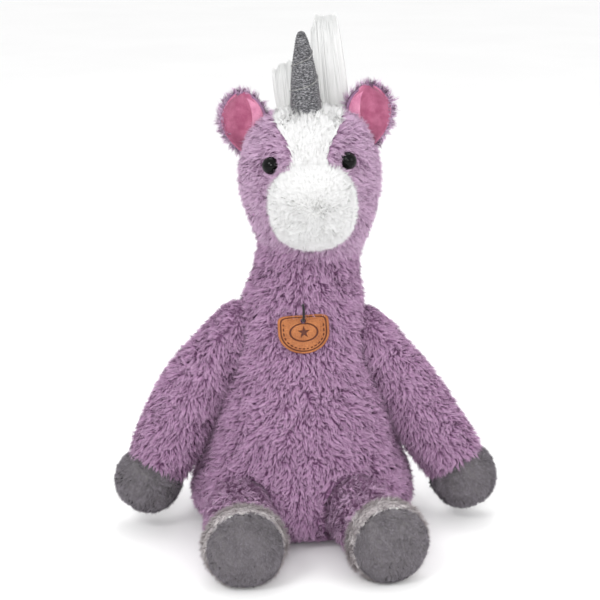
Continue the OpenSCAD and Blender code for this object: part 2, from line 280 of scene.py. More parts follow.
def whole(points):
    """Keeps all of a skin."""
    return np.ones(len(points), bool)


# ---- materials
def material(name, **values):
    """A Principled material. Each value has its socket's name, with _ for a space."""
    m = bpy.data.materials.new(name)
    m.use_nodes = True
    shader = m.node_tree.nodes["Principled BSDF"]
    for key, value in values.items():
        shader.inputs[key.replace("_", " ")].default_value = value
    return m, m.node_tree, shader


def node(tree, kind, **values):
    n = tree.nodes.new(kind)
    for key, value in values.items():
        if key in n.inputs:
            n.inputs[key].default_value = value
        else:
            setattr(n, key, value)
    return n


def ramp(tree, fac, stops, interpolation="EASE"):
    """A colour ramp of (place, colour) stops driven by a socket."""
    r = tree.nodes.new("ShaderNodeValToRGB")
    r.color_ramp.interpolation = interpolation
    elements = r.color_ramp.elements
    while len(elements) < len(stops):
        elements.new(0.5)
    for e, (at, colour) in zip(elements, stops):
        e.position = at
        e.color = (*colour, 1)
    tree.links.new(fac, r.inputs["Fac"])
    return r.outputs["Color"]


def mixed(tree, a, b, mode="MULTIPLY"):
    """Two colours blended in full. The numbers are the node's colour sockets: factor, A, B and result."""
    m = node(tree, "ShaderNodeMix", data_type="RGBA", blend_type=mode, clamp_result=True)
    m.inputs[0].default_value = 1.0
    tree.links.new(a, m.inputs[6])
    tree.links.new(b, m.inputs[7])
    return m.outputs[2]


def noise_node(tree, scale, detail=3.0, roughness=0.55, stretch=None):
    """Noise in object space. scale is features per metre, stretch squeezes an axis."""
    coords = tree.nodes.new("ShaderNodeTexCoord").outputs["Object"]
    if stretch is not None:
        mapping = node(tree, "ShaderNodeMapping", Scale=stretch)
        tree.links.new(coords, mapping.inputs["Vector"])
        coords = mapping.outputs["Vector"]
    n = node(tree, "ShaderNodeTexNoise", Scale=scale, Detail=detail, Roughness=roughness)
    tree.links.new(coords, n.inputs["Vector"])
    return n.outputs["Fac"]


def bumped(tree, shader, height, strength, distance):
    b = node(tree, "ShaderNodeBump", Strength=strength, Distance=distance)
    tree.links.new(height, b.inputs["Height"])
    tree.links.new(b.outputs["Normal"], shader.inputs["Normal"])


def uv_parts(tree, layer):
    """The sockets X and Y, which carry U and V of a layer."""
    uv = node(tree, "ShaderNodeUVMap", uv_map=layer)
    parts = tree.nodes.new("ShaderNodeSeparateXYZ")
    tree.links.new(uv.outputs["UV"], parts.inputs[0])
    return parts.outputs


def pile_material(name, root, middle, tip, spread, sheen=0.25, rough=0.8):
    """Pile whose colour runs from root to tip along V, and differs from hair to hair along U. The darker roots
    are painted shade, deep in the pile where the hairs shade each other.
    """
    m, tree, shader = material(name, Roughness=rough, Sheen_Weight=sheen, Sheen_Roughness=0.45,
                               Sheen_Tint=(*tip, 1), Specular_IOR_Level=0.22)
    parts = uv_parts(tree, "OFBake")
    # painted shade: the colour darkens from the tip down to the root, where the pile shades itself
    along = ramp(tree, parts["Y"], [(0.0, root), (0.45, middle), (1.0, tip)])
    tint = ramp(tree, parts["X"], [(0.0, (1 - spread,) * 3), (1.0, (1, 1, 1))], "LINEAR")
    tree.links.new(mixed(tree, along, tint), shader.inputs["Base Color"])
    return m


def cloth_material(name, dark, light, scale=900.0, rough=0.9, sheen=0.15):
    """Woven or felted cloth: a fine weave over a broad change of tone."""
    m, tree, shader = material(name, Roughness=rough, Sheen_Weight=sheen, Specular_IOR_Level=0.2)
    base = ramp(tree, noise_node(tree, scale / 12), [(0.3, dark), (0.7, light)])
    fine = noise_node(tree, scale, 2.0)
    grain = ramp(tree, fine, [(0.3, (0.72,) * 3), (0.7, (1, 1, 1))])
    tree.links.new(mixed(tree, base, grain), shader.inputs["Base Color"])
    bumped(tree, shader, fine, 0.3, 0.0004)
    return m


# the colours of each pile at its root, in its middle and at its tip; a root darker than its tip is painted
# shade
PURPLE = (0.17, 0.062, 0.155), (0.47, 0.26, 0.445), (0.74, 0.50, 0.71)
LILAC = (0.27, 0.13, 0.25), (0.60, 0.38, 0.575), (0.84, 0.62, 0.81)
WHITE = (0.95, 0.95, 0.945), (0.95, 0.95, 0.945), (0.95, 0.95, 0.95)
GREY = (0.115, 0.104, 0.118), (0.215, 0.195, 0.22), (0.36, 0.33, 0.367)
PALE = (0.56, 0.52, 0.525), (0.70, 0.655, 0.66), (0.80, 0.755, 0.76)
HAIR = (0.72, 0.72, 0.71), (0.72, 0.72, 0.715), (0.725, 0.73, 0.725)
YARN = (0.10, 0.10, 0.11), (0.16, 0.16, 0.17), (0.24, 0.24, 0.26)

purple_pile = pile_material("purple_pile", *PURPLE, 0.34)
lilac_pile = pile_material("lilac_pile", *LILAC, 0.30)
white_pile = pile_material("white_pile", *WHITE, 0.05, 0.1)
grey_pile = pile_material("grey_pile", *GREY, 0.35, 0.05, 0.95)
pale_pile = pile_material("pale_pile", *PALE, 0.12, 0.0, 1.0)
hair_white = pile_material("hair_white", *HAIR, 0.02, 0.0, 0.85)
purple_cloth = cloth_material("purple_cloth", (0.15, 0.065, 0.14), (0.22, 0.105, 0.205))
lilac_cloth = cloth_material("lilac_cloth", (0.26, 0.135, 0.24), (0.36, 0.20, 0.34))
white_cloth = cloth_material("white_cloth", (0.90, 0.90, 0.89), (0.94, 0.94, 0.93))
grey_cloth = cloth_material("grey_cloth", (0.10, 0.092, 0.098), (0.17, 0.158, 0.165))
pale_cloth = cloth_material("pale_cloth", (0.30, 0.27, 0.28), (0.42, 0.38, 0.39))
fibre_cloth = cloth_material("fibre_fill", (0.75, 0.75, 0.73), (0.88, 0.88, 0.86), 400.0)


# ---- pile
def scattered(mesh, density, keep, rng):
    """Random points on a mesh, density a square millimetre, thinned by keep(points, normals) from 0 to 1."""
    mesh.calc_loop_triangles()
    tris = np.zeros(len(mesh.loop_triangles) * 3, np.int32)
    mesh.loop_triangles.foreach_get("vertices", tris)
    tris = tris.reshape(-1, 3)
    co, nor = points_of(mesh), normals_of(mesh)
    a, b, c = co[tris[:, 0]], co[tris[:, 1]], co[tris[:, 2]]
    area = np.linalg.norm(np.cross(b - a, c - a), axis=1) / 2
    number = int(area.sum() * density)
    pick = rng.choice(len(tris), number, p=area / area.sum())
    u, v = rng.random(number), rng.random(number)
    over = u + v > 1
    u[over], v[over] = 1 - u[over], 1 - v[over]
    w = 1 - u - v
    t = tris[pick]
    points = co[t[:, 0]] * w[:, None] + co[t[:, 1]] * u[:, None] + co[t[:, 2]] * v[:, None]
    nors = unit(nor[t[:, 0]] * w[:, None] + nor[t[:, 1]] * u[:, None] + nor[t[:, 2]] * v[:, None])
    if keep is None:
        return points, nors
    chosen = rng.random(number) < keep(points, nors)
    return points[chosen], nors[chosen]


def nearest(centres, points):
    """For each point, the number of the nearest centre."""
    tree = kdtree.KDTree(len(centres))
    for i, c in enumerate(centres):
        tree.insert(c, i)
    tree.balance()
    return np.array([tree.find(p)[1] for p in points])


# without a seed, noise_vector takes its offsets from the clock, and each run differs
noise.seed_set(1)


def drift(points, scale, seed):
    """A smooth random vector at each point; scale is the size of its swirls in millimetres."""
    shift = Vector((seed * 17.3, seed * 5.1, seed * 9.7))
    return np.array([noise.noise_vector(Vector(p) / scale + shift) for p in points])


def tangent(vectors, normals):
    return vectors - normals * (vectors * normals).sum(1, keepdims=True)


def ribbons(name, paths, widths, normals, tint, material, roll, rng, soft=0.3):
    """Thin tapered hairs as one mesh. paths is hairs x points x 3, widths one for each point but the last.
    soft is how far a hair's own faces, and not the skin, set its shading."""
    count, steps = paths.shape[0], paths.shape[1]
    paths[..., 2] = np.maximum(paths[..., 2], 0.3)
    along = unit(np.gradient(paths, axis=1))
    side = unit(np.cross(along, normals[:, None, :]))
    other = np.cross(side, along)
    angle = (rng.random(count) - 0.5)[:, None, None] * roll
    side = side * np.cos(angle) + other * np.sin(angle)
    face = np.cross(side, along)
    half = np.asarray(widths)[..., None] / 2
    body = slice(0, steps - 1)
    low = paths[:, body] - side[:, body] * half
    high = paths[:, body] + side[:, body] * half
    pairs = np.stack([low, high], 2).reshape(count, -1, 3)
    verts = np.concatenate([pairs, paths[:, -1:]], 1)
    verts[..., 2] = np.maximum(verts[..., 2], 0.1)
    per = verts.shape[1]
    turned_out = face * np.sign((face * normals[:, None, :]).sum(2, keepdims=True))
    outward = normals[:, None, :] * (1 - soft) + turned_out * soft
    low_n, high_n = outward[:, body] - side[:, body] * soft, outward[:, body] + side[:, body] * soft
    nor = np.concatenate([np.stack([low_n, high_n], 2).reshape(count, -1, 3), outward[:, -1:]], 1)
    first = (np.arange(count) * per)[:, None]
    quads = [[2 * i, 2 * i + 1, 2 * i + 3, 2 * i + 2] for i in range(steps - 2)]
    pattern = np.array([k for q in quads for k in q] + [per - 3, per - 2, per - 1])
    loops = (first + pattern[None, :]).ravel().astype(np.int32)
    sizes = np.tile(np.array([4] * (steps - 2) + [3], np.int32), count)
    v_at = np.linspace(0, 1, steps)
    v_rows = np.concatenate([np.repeat(v_at[:-1], 2), v_at[-1:]])
    uv = np.stack([np.repeat(tint, per), np.tile(v_rows, count)], 1)
    uv = np.clip(uv, 0.01, 0.99)
    mesh = bpy.data.meshes.new(name)
    fill_mesh(mesh, verts.reshape(-1, 3) * MM, loops, sizes)
    put_uv(mesh, uv[loops])
    mesh.normals_split_custom_set_from_vertices(unit(nor.reshape(-1, 3)))
    mesh.materials.append(material)
    return linked(name, mesh)


def pile(name, skin, material, keep, flow, seed, density=3.9, length=5.4, width=0.27, tuft=1.45,
         lean=0.68, gather=0.55, trim=None, steps=3, swirl=0.9, sink=0.4, soft=0.3):
    """Tufted pile on a skin. Hairs within a tuft lean together and meet towards its tip."""
    rng = np.random.default_rng(seed)
    roots, normals = scattered(skin.data, density, keep, rng)
    count = len(roots)
    tufts = max(int(count / (density * tuft * tuft)), 1)
    centre = rng.choice(count, tufts, replace=False)
    c_root, c_normal = roots[centre], normals[centre]
    wander = drift(c_root, 9.0, seed) * swirl + rng.normal(0, 0.35, (tufts, 3)) * swirl
    c_flow = unit(tangent(unit(flow(c_root, c_normal)) * 0.8 + wander, c_normal))
    c_length = length * (1 + 0.16 * rng.normal(size=tufts).clip(-2, 2))
    # pile that faces upwards falls over further
    c_lean = lean * (1 + 0.35 * rng.normal(size=tufts)) * (1 + 0.5 * c_normal[:, 2].clip(0, 1))
    c_lean = c_lean.clip(0.1, 1.4)
    c_twist = rng.normal(0, 0.9, tufts)
    own = nearest(c_root, roots)
    size = c_length[own] * (1 + 0.12 * rng.normal(size=count)).clip(0.6, 1.3)
    if trim is not None:
        size = size * trim(roots, normals)
    s = np.linspace(0, 1, steps)[None, :, None]
    n, f, k = normals[:, None, :], c_flow[own][:, None, :], c_lean[own][:, None, None]
    path = n * s * (1 - 0.42 * k * s) + f * k * s * s * 0.8
    centre_offset = roots - c_root[own]
    inward = -centre_offset[:, None, :] * gather * s**1.4
    across = np.cross(normals, centre_offset)[:, None, :] * np.sin(c_twist[own])[:, None, None] * 0.55 * s
    jitter = rng.normal(0, 0.35, (count, 1, 3)) * s**1.5
    share = (size / length).clip(0.3, 1.2)[:, None, None]
    paths = roots[:, None, :] + path * size[:, None, None] + (inward + across + jitter) * share
    paths[:, 0] -= normals * sink
    taper = np.linspace(1, 0.75, steps - 1)
    widths = width * taper[None, :] * (0.8 + 0.4 * rng.random((count, 1)))
    tuft_tint = rng.random(tufts)
    tint = (0.65 * tuft_tint[own] + 0.35 * rng.random(count)).clip(0, 1)
    obj = ribbons(name, paths, widths, normals, tint, material, 2.2, rng, soft)
    return obj


# ---- camera, light, floor
AIM = Vector((-0.0013, 0, 0.142))
VIEW_AZIMUTH, VIEW_HEIGHT, VIEW_DISTANCE = -4.5, 14.0, 1.10
SENSOR_MM, LENS_MM = 36, 104.8
LAMPS_AIM = Vector((0, 0, 0.16))
FLOOR_HALF = 9000


def camera():
    data = bpy.data.cameras.new("camera")
    data.sensor_width = SENSOR_MM
    data.lens = LENS_MM
    obj = linked("camera", data)
    az, el = math.radians(VIEW_AZIMUTH), math.radians(VIEW_HEIGHT)
    away = Vector((math.cos(el) * math.sin(az), -math.cos(el) * math.cos(az), math.sin(el)))
    obj.location = AIM + away * VIEW_DISTANCE
    obj.rotation_euler = (-away).to_track_quat("-Z", "Y").to_euler()
    bpy.context.scene.camera = obj


def lamp(name, at, size, power):
    data = bpy.data.lights.new(name, "AREA")
    data.shape = "DISK"
    data.size = size
    data.energy = power
    obj = linked(name, data)
    obj.location = at
    obj.rotation_euler = (LAMPS_AIM - Vector(at)).to_track_quat("-Z", "Y").to_euler()


def studio():
    world = bpy.data.worlds.new("studio")
    bpy.context.scene.world = world
    world.use_nodes = True
    background = world.node_tree.nodes["Background"]
    background.inputs["Color"].default_value = (1, 1, 1, 1)
    background.inputs["Strength"].default_value = 1.02
    lamp("key", (-0.75, -1.1, 1.25), 0.6, 8.5)
    lamp("fill", (1.1, -0.9, 0.7), 0.9, 4)
    lamp("front", (-0.12, -1.25, 0.62), 0.24, 4)
    lamp("top", (0.1, 0.5, 1.5), 0.9, 5)
    corners = [[x * FLOOR_HALF, y * FLOOR_HALF, 0] for x, y in ((-1, -1), (1, -1), (1, 1), (-1, 1))]
    floor = new_object("floor", corners, [[0, 1, 2, 3]])
    m, tree, shader = material("floor_paper", Roughness=0.9)
    tone = ramp(tree, noise_node(tree, 3.0), [(0.3, (0.93,) * 3), (0.7, (0.95,) * 3)])
    tree.links.new(tone, shader.inputs["Base Color"])
    floor.data.materials.append(m)
    bpy.context.scene.view_settings.view_transform = "Standard"


camera()
studio()


# ---- skins
TORSO_ROWS = curve([
    (1.0, 30, 30, 0, 0), (0.6, 45, 45, 0, 0), (7.5, 62, 61, 0, 0), (22, 67, 66, 0, 0), (49, 58.5, 58, -0.5, 0),
    (77, 51, 50, -1.2, 0), (103, 40, 39, -2.0, 0), (125, 36.2, 34.5, -0.8, 0), (147, 34, 31.5, 0.4, 0),
    (160, 29.5, 29, 2.2, 0), (184, 27, 27, 4.4, 0)], 3)


def push_out(points, centre, radius):
    """Points that lie in a ball go to its surface."""
    far = distance(points, centre)
    return np.where(far < radius, centre + (points - centre) / np.maximum(far, 1e-6) * radius, points)


def torso_shape(points, normals):
    lumps = drift(points, 26.0, 3)[:, :1]
    points = points + normals * (0.9 + lumps * 0.9)
    for s in (LEFT, RIGHT):
        points = push_out(points, HIP_AT[s], HIP_POCKET_R)
        points = push_out(points, SHOULDER_AT[s], SHOULDER_POCKET_R)
    points[:, 2] = np.maximum(points[:, 2], 0.3)
    return points


torso_skin = fused("torso_form", [lathe(TORSO_ROWS)], 3.0, 4, torso_shape)

JAW_ROWS = curve([(-50, 26.5), (-42, 29.5), (-28, 35.5), (-14, 39.8), (-4, 41)], 3)
CROWN_ROWS = [(-4 + 43.5 * math.sin(t) ** 0.85, 41 * math.cos(t) ** 0.6)
              for t in np.radians(np.arange(7.5, 88, 7.5))]
MUZZLE_ROWS = [(10, 20), (20, 23.6)] + [
    (36 + 21 * math.sin(t) ** 0.9, 24 * math.cos(t) ** 0.7) for t in np.radians(np.arange(0, 88, 8))]
MUZZLE = HEAD @ place((0.5, 0, MUZZLE_Z), 90)


def head_shape(points, normals):
    local = moved(HEAD_BACK, points)
    for s in (LEFT, RIGHT):
        # a hollow for each eye, and a shallow nostril
        for centre, radius, depth in (((SIGN[s] * 21, -33, 13), 9, 1.6), ((SIGN[s] * 9.5, -56, -17), 5, 2.2)):
            far = distance(local, np.array(centre))
            points = points - normals * depth * np.exp(-(far / radius) ** 2)
    return points + normals * drift(points, 20.0, 5)[:, :1] * 0.9


head_skin = fused("head_form", [
    lathe([(float(z), float(r)) for z, r in JAW_ROWS] + CROWN_ROWS, HEAD),
    lathe(MUZZLE_ROWS, MUZZLE, square=0.86)], 2.4, 5, head_shape)

ARM_ROWS = curve([(13, 3), (10.5, 8.5), (0, 13.2), (-12, 14.8), (-30, 16.6), (-58, 18.4), (-86, 18.6),
                  (-104, 16.8)], 3)


def arm_rows(s):
    """Rows from the wrist up. The left arm is stuffed fuller, and bows outwards."""
    bows = [(s == LEFT) * math.exp(-((z + 50) / 30) ** 2) for z, _ in ARM_ROWS]
    return [(z, r + 1.2 * b, r + 1.2 * b, -3.4 * b, 0) for (z, r), b in zip(ARM_ROWS, bows)][::-1]


arm_skins = [fused(f"arm_form_{SIDES[s]}", [lathe(arm_rows(s), ARM[s])], 2.6, 3,
                   lambda p, n: p + n * drift(p, 22.0, 7)[:, :1] * 1.2) for s in (LEFT, RIGHT)]
LEG_ROWS = curve([(-17.5, 4), (-12, 13), (0, 18), (24, 18.4), (45, 17.6)], 3)
leg_skins = [fused(f"leg_form_{SIDES[s]}", [lathe(LEG_ROWS, LEG[s])], 2.6, 3,
                   lambda p, n: p + n * drift(p, 22.0, 9)[:, :1] * 1.0) for s in (LEFT, RIGHT)]


# ---- torso, neck
def front(p):
    return p[:, 1] < 0


def bend_neck(obj):
    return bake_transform(obj)


torso_front = panel("torso_front_cloth", torso_skin, front, purple_cloth)
torso_back = panel("torso_back_cloth", torso_skin, lambda c: ~front(c), purple_cloth)
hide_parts("torso_front_panel", "neck_cover")
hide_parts("torso_back_panel")
for piece in (torso_front, torso_back):
    bend_neck(piece)


def torso_keep(front_side, right_side):
    def keep(p, n):
        in_pocket = ~whole(p)
        for s in (LEFT, RIGHT):
            in_pocket |= distance(p, HIP_AT[s])[:, 0] < HIP_BARE_R
            in_pocket |= distance(p, SHOULDER_AT[s])[:, 0] < SHOULDER_BARE_R
        seat = (n[:, 2] < -0.8) & (p[:, 2] < 3)
        return (front(p) == front_side) & ((p[:, 0] > 0) == right_side) & ~in_pocket & ~seat
    return keep


def torso_flow(p, n):
    """Down in the middle, more and more outwards towards the flanks, and forward over the tops of the legs."""
    down = p * [0.017, 0.006, 0] + [0, 0, -0.8]
    for s in (LEFT, RIGHT):
        over_leg = np.exp(-((distance(p, HIP_AT[s]) - 22) / 6) ** 2) * (p[:, 1:2] < -20)
        down = down * (1 - over_leg) + np.array([0, -1.0, -0.35]) * over_leg
    return down


def tag_trim(p, n):
    """The pile is pressed flat behind the tag and near the floor."""
    tag = (np.abs(p[:, 0] + 2) < 17) & (p[:, 2] > 116) & (p[:, 2] < 142) & (p[:, 1] < -20)
    low = np.clip((p[:, 2] - 1) / 9, 0.25, 1)
    return np.where(tag, 0.6, 1) * low


for i, (is_front, is_right) in enumerate(((True, False), (True, True), (False, False), (False, True))):
    name = f"torso_pile_{'front' if is_front else 'back'}_{SIDES[int(is_right)]}"
    bend_neck(pile(name, torso_skin, purple_pile, torso_keep(is_front, is_right),
                   density=3.9 if is_front else 3.1, flow=torso_flow, trim=tag_trim, seed=11 + i))


# ---- head
def on_muzzle(p):
    """The white oval of the muzzle, seen from the front."""
    x, y, z = moved(HEAD_BACK, p).T
    return (np.abs((x - 0.5) / 24.5) ** 2.5 + np.abs((z - MUZZLE_Z) / 24.0) ** 2.5 < 1) & (y < -14)


def on_blaze(p):
    """The white strip above the muzzle: narrow between the eyes and wide on the crown."""
    x, y, z = moved(HEAD_BACK, p).T
    half = np.interp(z, [0, 9, 15, 25, 33, 45], [13, 10.5, 9.5, 12.5, 19, 21])
    middle = np.interp(z, [9, 33], [0, 1.5])
    return (np.abs(x - middle) < half) & (z > -2) & (y < 8) & ~on_muzzle(p)


def head_side(s):
    return lambda p: ~on_muzzle(p) & ~on_blaze(p) & ((moved(HEAD_BACK, p)[:, 0] > 0) == (s == RIGHT))


def bend_collar(obj):
    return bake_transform(obj)


for s in (LEFT, RIGHT):
    piece = panel(f"head_cloth_{SIDES[s]}", head_skin, head_side(s), lilac_cloth)
    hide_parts(f"head_side_{SIDES[s]}")
    bend_collar(piece)


def eye_distance(p):
    """How far each point is from the nearer eye."""
    local = moved(HEAD_BACK, p)
    return np.minimum(*[distance(local, eye)[:, 0] for eye in EYE_AT])


def under_eye(p):
    return eye_distance(p) < 4.9


def eye_trim(p, n):
    """The pile is a little longer round the eyes, so that they sit in it."""
    return np.interp(eye_distance(p), [5, 7, 11], [1.2, 1.1, 1.0])


def blaze_trim(p, n):
    """Longer round the horn, whose foot it hides."""
    by_horn = np.hypot(*moved(HORN.inverted(), p)[:, :2].T)
    return eye_trim(p, n) * np.interp(by_horn, [6, 9, 16], [0.8, 1.7, 1.2])


def head_flow(p, n):
    """Back from the muzzle and down, and over the rims of the eyes."""
    out = p - (HEAD_AT + [0, -40, -8])
    flow = unit(out) * 0.6 + [0, 0, -0.75]
    for eye in EYE_AT:
        inward = spot(HEAD, *eye) - p
        far = np.linalg.norm(inward, axis=1, keepdims=True)
        flow = flow + unit(inward) * 1.4 * np.exp(-((far - 5) / 3) ** 2)
    return flow


def muzzle_flow(p, n):
    """Outwards from the tip of the nose."""
    return p - spot(MUZZLE, 0, 0, 50)


def blaze_flow(p, n):
    """Up to the crown, and a little outwards."""
    return np.tile([0, -0.25, 1.3], (len(p), 1)) + (p - HEAD_AT) * [0.02, 0, 0]


for s in (LEFT, RIGHT):
    bend_collar(pile(f"head_pile_{SIDES[s]}", head_skin, lilac_pile,
                     lambda p, n: head_side(s)(p) & ~under_eye(p) & (p[:, 2] > 172),
                     density=4.3, length=4.7, width=0.25,
                     gather=0.3, soft=0.15, lean=0.58, flow=head_flow, trim=eye_trim, seed=21 + s))
for name, cad, keep, length, flow, trim, seed in (
        ("muzzle", "muzzle_cover", on_muzzle, 3.9, muzzle_flow, None, 31),
        ("blaze", "face_blaze", on_blaze, 4.0, blaze_flow, blaze_trim, 32)):
    cloth = panel(f"{name}_cloth", head_skin, keep, white_cloth)
    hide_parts(cad)
    fur = pile(f"{name}_pile", head_skin, white_pile, lambda p, n: keep(p) & ~under_eye(p),
               density=10.0, length=length, width=0.18, tuft=1.0, lean=0.5, flow=flow, trim=trim, swirl=0.5,
               gather=0.1, soft=0.04, seed=seed)
    for piece in (cloth, fur):
        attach(piece, "head")


# ---- arms and legs
def limb_flow(matrix, sign):
    """Along the limb towards its end, and a little down."""
    axis = turned(matrix, [[0, 0, sign]])[0]
    return lambda p, n: np.tile(axis, (len(p), 1)) + [0, 0, -0.35]


def limb(kind, s, skin, looks, bend, flow, keep, trim, seed):
    """A limb's cloth and pile, with their transforms baked in. bend, the two points, is not used."""
    cloth = panel(f"{kind}_cloth_{SIDES[s]}", skin, whole, looks[0])
    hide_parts(f"{kind}_cover_{SIDES[s]}")
    fur = pile(f"{kind}_pile_{SIDES[s]}", skin, looks[1], keep, flow=flow, trim=trim,
               seed=seed + s)
    for piece in (cloth, fur):
        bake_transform(piece)


for s in (LEFT, RIGHT):
    limb("arm", s, arm_skins[s], (purple_cloth, purple_pile),
         (SHOULDER_AT[s], spot(ARM[s], 0, 0, -24)), limb_flow(ARM[s], -1),
         lambda p, n: height_along(ARM[s], p) > -103,
         lambda p, n: np.interp(height_along(ARM[s], p), [-8, 4], [1, 0.6]), 41)
    limb("leg", s, leg_skins[s], (lilac_cloth, lilac_pile),
         (spot(LEG[s], 0, 0, -8), spot(LEG[s], 0, 0, 16)), limb_flow(LEG[s], 1),
         lambda p, n: np.abs(height_along(LEG[s], p) - 18) < 26.5,
         lambda p, n: np.clip((p[:, 2] - 1) / 8, 0.3, 1), 51)


# ---- hooves
HAND_ROWS = curve([(-99.5, 14), (-103, 17.4), (-108, 20), (-115, 20.6), (-123, 18.6), (-129.5, 13.4),
                   (-133, 6.5), (-134, 1)], 2)
FOOT_ROWS = curve([(42.5, 16.4), (45.5, 20.6), (49.5, 23.2), (53.5, 24), (57, 23.6), (59.5, 22.3), (61.8, 22.4),
                   (65.5, 20.2), (68.6, 15.2), (70.3, 8.5), (70.9, 1)], 2)
SOLE_FROM = 59.5


def pucker(local, count, phase=0):
    """Waves round a hoof's own axis."""
    return np.sin(count * np.arctan2(local[:, 1:2], local[:, 0:1]) + phase)


def hand_shape(s):
    def shape(p, n):
        """Two halves sewn edge to edge: a shallow seam runs round the hoof, with small puckers at the wrist."""
        local = moved(ARM[s].inverted(), p)
        seam = np.exp(-((local[:, :1] + 1.5) / 1.1) ** 2) * (local[:, 2:3] < -106)
        wrist = np.exp(-((local[:, 2:3] + 104) / 3.0) ** 2)
        pressed = seam * 0.8 + wrist * (0.5 + 0.4 * pucker(local, 11))
        return p - n * pressed + n * drift(p, 14.0, 13)[:, :1] * 0.8
    return shape


def foot_shape(s):
    def shape(p, n):
        """Puckers where the sole is gathered into the band, strongest at the top."""
        local = moved(LEG[s].inverted(), p)
        rim = np.exp(-((local[:, 2:3] - SOLE_FROM) / 2.0) ** 2)
        strong = 0.45 + 0.55 * np.clip(pucker(local, 1), 0, 1)
        seam = np.exp(-((local[:, 2:3] - SOLE_FROM) / 0.9) ** 2) * 0.7
        p = p - n * (rim * strong * (0.3 + 0.55 * pucker(local, 13, s))) - n * seam
        p = p + n * drift(p, 12.0, 17)[:, :1] * 0.8
        p[:, 2] = np.maximum(p[:, 2], 0.25)
        return p
    return shape


def hoof_piece(kind, s, cad, body, skin, looks, length, flow, seed, keep=None, density=6.0):
    """One piece of a hoof: its cloth, and a short nap over it."""
    cloth = panel(f"{kind}_cloth_{SIDES[s]}", skin, keep or whole, looks[0], HOOF_CLOTH_T)
    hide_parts(f"{cad}_{SIDES[s]}")
    fur = pile(f"{kind}_nap_{SIDES[s]}", skin, looks[1], keep and (lambda p, n: keep(p)), density=density,
               length=length, width=0.22, tuft=1.5, lean=0.8, flow=flow, gather=0.3, swirl=0.8, steps=2,
               seed=seed + s, sink=0.3, soft=0.2)
    for piece in (cloth, fur):
        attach(piece, f"{body}_{SIDES[s]}")


for s in (LEFT, RIGHT):
    skin = fused(f"hand_form_{SIDES[s]}", [lathe(HAND_ROWS[::-1], ARM[s])], 1.5, 2, hand_shape(s))
    hoof_piece("hand", s, "hand_hoof", "arm", skin, (grey_cloth, grey_pile), 2.3,
               limb_flow(ARM[s], -1), 61)
    bpy.data.objects.remove(skin)

    def is_sole(p):
        return height_along(LEG[s], p) > SOLE_FROM

    skin = fused(f"foot_form_{SIDES[s]}", [lathe(FOOT_ROWS, LEG[s])], 1.5, 2, foot_shape(s))
    hoof_piece("band", s, "hoof_band", "leg", skin, (pale_cloth, pale_pile), 3.6,
               limb_flow(LEG[s], 1), 71, lambda p: ~is_sole(p), 5.0)
    hoof_piece("sole", s, "sole_pad", "leg", skin, (grey_cloth, grey_pile), 1.5,
               lambda p, n: np.tile([0.1, 0, -1.0], (len(p), 1)), 81, is_sole, 8.0)
    bpy.data.objects.remove(skin)


# ---- sheets with a thickness
def sheet_solid(name, grid, thickness, material, matrix, uv=None, uv_name="OFBake"):
    """A closed thin piece: grid is rows x columns x 3 points of its front, thickness goes behind it."""
    rows, cols = grid.shape[:2]
    du, dv = np.gradient(grid, axis=1), np.gradient(grid, axis=0)
    nor = unit(np.cross(du, dv))
    verts = moved(matrix, np.concatenate([grid.reshape(-1, 3), (grid - nor * thickness).reshape(-1, 3)]))
    back = rows * cols
    faces = []
    for i in range(rows - 1):
        for j in range(cols - 1):
            a, d = i * cols + j, (i + 1) * cols + j
            b, c = a + 1, d + 1
            faces += [[a, b, c, d], [a + back, d + back, c + back, b + back]]
    rim = list(range(cols)) + [i * cols + cols - 1 for i in range(1, rows)]
    rim += [(rows - 1) * cols + j for j in range(cols - 2, -1, -1)]
    rim += [i * cols for i in range(rows - 2, 0, -1)]
    for a, b in zip(rim, rim[1:] + rim[:1]):
        faces.append([b, a, a + back, b + back])
    uv = None if uv is None else np.concatenate([uv, uv])
    return new_object(name, verts, faces, material, uv, uv_name)


def strands(name, roots, tips, bow, width, normals, material, seed, steps=6, crimp=0.5):
    """Long hairs from roots to tips, each with a bow sideways and a small crimp."""
    rng = np.random.default_rng(seed)
    t = np.linspace(0, 1, steps)[None, :, None]
    paths = roots[:, None] + (tips - roots)[:, None] * t + bow[:, None] * 4 * t * (1 - t)
    wave = np.sin(t * rng.uniform(4, 9, (len(roots), 1, 1)) + rng.uniform(0, 6, (len(roots), 1, 1)))
    paths = paths + wave * rng.normal(0, crimp, (len(roots), 1, 3)) * t
    widths = width * np.linspace(1, 0.55, steps - 1)[None, :] * rng.uniform(0.7, 1.2, (len(roots), 1))
    tint = rng.random(len(roots))
    obj = ribbons(name, paths, widths, normals, tint, material, 0.9, rng, 0.1)
    return obj


# ---- ears
def ear_half(v, margin):
    """Half of the ear's width at a height: rounded above, drawn to a point below."""
    return (EAR_HALF_W - margin) * np.sin(math.pi * v**1.2) ** 0.6


